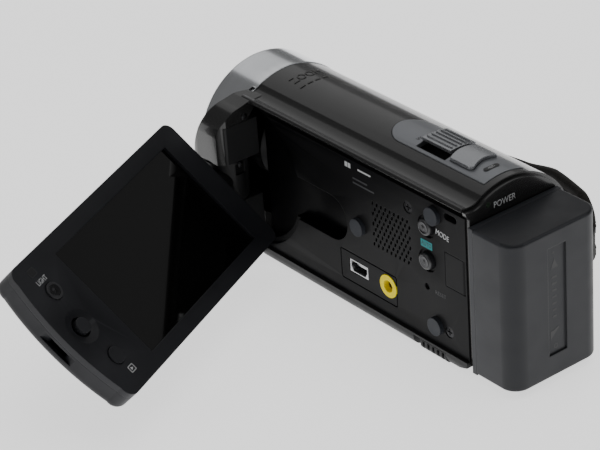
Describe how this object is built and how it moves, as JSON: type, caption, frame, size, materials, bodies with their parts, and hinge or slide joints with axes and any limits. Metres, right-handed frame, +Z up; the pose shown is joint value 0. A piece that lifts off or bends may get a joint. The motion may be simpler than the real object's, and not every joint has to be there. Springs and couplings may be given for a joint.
{
  "type": "camcorder",
  "caption": "Hand-held camcorder with a round lens end, a tilting swing-out screen on its side, a slide-on battery at the rear and a padded hand strap.",
  "frame": {"origin": "centre of the mouth of the tripod thread, in the plane of the bottom face and below the lens axis", "axes": "+X toward the side that the screen opens on, +Y toward the battery end so that the lens faces -Y, +Z up"},
  "size_m": [0.1623, 0.1259, 0.0569],
  "materials": {
    "shell_gloss": "polished black",
    "shell_matte": "fine matte black",
    "charcoal": "satin charcoal",
    "ring_silver": "satin silver",
    "control_grey": "satin grey",
    "keys_dark": "moulded key",
    "optical_glass": "coated",
    "screen_glass": "gloss",
    "module": "display sandwich",
    "pad_rubber": "bluish grey",
    "jack_yellow": "yellow",
    "contact_gold": "plated",
    "bare_steel": "bare",
    "frame_alloy": "pressed sheet",
    "board_green": "circuit board",
    "webbing": "woven and padded",
    "led_lens": "clear tinted"
  },
  "bodies": {
    "body": {"top_cover": "shell_gloss", "left_panel": "shell_matte", "right_cover": "shell_matte", "bottom_cover": "shell_matte", "front_chin": "shell_matte", "rear_bezel": "shell_matte", "hinge_blocks": "shell_matte", "lens_bezel": "shell_matte", "lens_barrel": "shell_matte", "strap_lugs": "shell_matte", "dc_jack": "shell_matte", "card_slot": "shell_matte", "front_ring": "ring_silver", "control_plate": "control_grey", "front_lens": "optical_glass", "lens_groups": "optical_glass", "rubber_pads": "pad_rubber", "av_jack_ring": "jack_yellow", "av_jack": "contact_gold", "battery_terminals": "contact_gold", "usb_socket": "bare_steel", "tripod_bush": "bare_steel", "case_screws": "bare_steel", "door_pins": "bare_steel", "swing_pins": "bare_steel", "battery_shoe": "bare_steel", "chassis_frame": "frame_alloy", "image_sensor": "frame_alloy", "speaker": "frame_alloy", "main_board": "board_green", "switch_boards": "board_green", "hand_strap": "webbing", "power_led": "led_lens"},
    "lcd_arm": {"lcd_knuckle": "shell_matte"},
    "lcd_leveller": {"lcd_tilt_sleeve": "bare_steel"},
    "lcd_panel": {"lcd_tilt_shaft": "bare_steel", "lcd_bezel": "charcoal", "lcd_glass": "screen_glass", "lcd_module": "module", "lcd_back_cover": "charcoal", "lcd_boards": "board_green"},
    "light_key": {"light_button": "keys_dark"},
    "view_key": {"view_button": "keys_dark"},
    "selector_ring": {"selector_gimbal": "keys_dark"},
    "selector": {"multi_selector": "keys_dark"},
    "zoom": {"zoom_lever": "keys_dark"},
    "photo_key": {"photo_button": "control_grey"},
    "mode_key": {"mode_button": "keys_dark"},
    "auto_key": {"auto_button": "keys_dark"},
    "reset_key": {"reset_button": "keys_dark"},
    "start_stop_key": {"start_stop_button": "keys_dark"},
    "battery": {"battery_case": "charcoal", "battery_base": "charcoal", "battery_cells": "frame_alloy"},
    "battery_release": {"battery_release_lever": "keys_dark"},
    "jack_door": {"jack_flap": "shell_matte"},
    "card_lid": {"card_door": "shell_matte"},
    "cover_switch": {"lens_cover_switch": "shell_matte"},
    "upper_blade": {"barrier_blade_upper": "shell_matte"},
    "lower_blade": {"barrier_blade_lower": "shell_matte"}
  },
  "joints": [
    {"name": "lcd_swing", "type": "hinge", "parent": "body", "child": "lcd_arm", "pos_m": [0.022, -0.0522, 0.0278], "axis": [0, 0, -1], "range_deg": [-63.6, 26.4]},
    {"name": "lcd_level", "type": "hinge", "parent": "lcd_arm", "child": "lcd_leveller", "pos_m": [0.022, -0.0522, 0.0278], "axis": [0.8957, 0.4446, 0], "range_deg": [-46.81, 19.44]},
    {"name": "lcd_tilt", "type": "hinge", "parent": "lcd_leveller", "child": "lcd_panel", "pos_m": [0.022, -0.0522, 0.0278], "axis": [0.8957, 0.4446, 0], "range_deg": [0, 113.8]},
    {"name": "light_press", "type": "slide", "parent": "lcd_panel", "child": "light_key", "axis": [0.3044, -0.6132, -0.729], "range_m": [0, 0.0004], "stiffness_N_per_m": 400},
    {"name": "view_press", "type": "slide", "parent": "lcd_panel", "child": "view_key", "axis": [0.3044, -0.6132, -0.729], "range_m": [0, 0.0004], "stiffness_N_per_m": 400},
    {"name": "selector_rock", "type": "hinge", "parent": "lcd_panel", "child": "selector_ring", "pos_m": [0.10318, -0.01016, 0.02887], "axis": [0.8957, 0.4446, 0], "range_deg": [-3, 3], "stiffness_Nm_per_rad": 0.02},
    {"name": "selector_tip", "type": "hinge", "parent": "selector_ring", "child": "selector", "pos_m": [0.10318, -0.01016, 0.02887], "axis": [0.3241, -0.6529, 0.6845], "range_deg": [-3, 3], "stiffness_Nm_per_rad": 0.02},
    {"name": "zoom_rock", "type": "hinge", "parent": "body", "child": "zoom", "pos_m": [0, 0.01845, 0.0326], "axis": [0, 1, 0], "range_deg": [-7, 7], "stiffness_Nm_per_rad": 0.05},
    {"name": "photo_press", "type": "slide", "parent": "body", "child": "photo_key", "axis": [0, 0, -1], "range_m": [0, 0.0005], "stiffness_N_per_m": 600},
    {"name": "mode_press", "type": "slide", "parent": "body", "child": "mode_key", "axis": [-1, 0, 0], "range_m": [0, 0.0005], "stiffness_N_per_m": 400},
    {"name": "auto_press", "type": "slide", "parent": "body", "child": "auto_key", "axis": [-1, 0, 0], "range_m": [0, 0.0005], "stiffness_N_per_m": 400},
    {"name": "reset_press", "type": "slide", "parent": "body", "child": "reset_key", "axis": [-1, 0, 0], "range_m": [0, 0.0003], "stiffness_N_per_m": 400},
    {"name": "start_stop_press", "type": "slide", "parent": "body", "child": "start_stop_key", "axis": [0, -1, 0], "range_m": [0, 0.0006], "stiffness_N_per_m": 400},
    {"name": "battery_slide", "type": "slide", "parent": "body", "child": "battery", "axis": [0, 0, 1], "range_m": [0, 0.006]},
    {"name": "release_slide", "type": "slide", "parent": "body", "child": "battery_release", "axis": [0, -1, 0], "range_m": [0, 0.0024], "stiffness_N_per_m": 300},
    {"name": "jack_door_hinge", "type": "hinge", "parent": "body", "child": "jack_door", "pos_m": [0.0145, 0.0422, 0.03015], "axis": [0, 0, 1], "range_deg": [0, 90]},
    {"name": "card_lid_hinge", "type": "hinge", "parent": "body", "child": "card_lid", "pos_m": [-0.0121, -0.0255, 0.00085], "axis": [0, 1, 0], "range_deg": [0, 95]},
    {"name": "cover_slide", "type": "slide", "parent": "body", "child": "cover_switch", "axis": [0, 0, 1], "range_m": [0, 0.005]},
    {"name": "upper_blade_slide", "type": "slide", "parent": "body", "child": "upper_blade", "axis": [0, 0, 1], "range_m": [0, 0.0086]},
    {"name": "lower_blade_slide", "type": "slide", "parent": "body", "child": "lower_blade", "axis": [0, 0, -1], "range_m": [0, 0.0086]}
  ],
  "couplings": [
    {"joint": "lcd_level", "follows": "lcd_swing", "ratio": 0.73585},
    {"joint": "upper_blade_slide", "follows": "cover_slide", "ratio": 1.72},
    {"joint": "lower_blade_slide", "follows": "cover_slide", "ratio": 1.72}
  ]
}
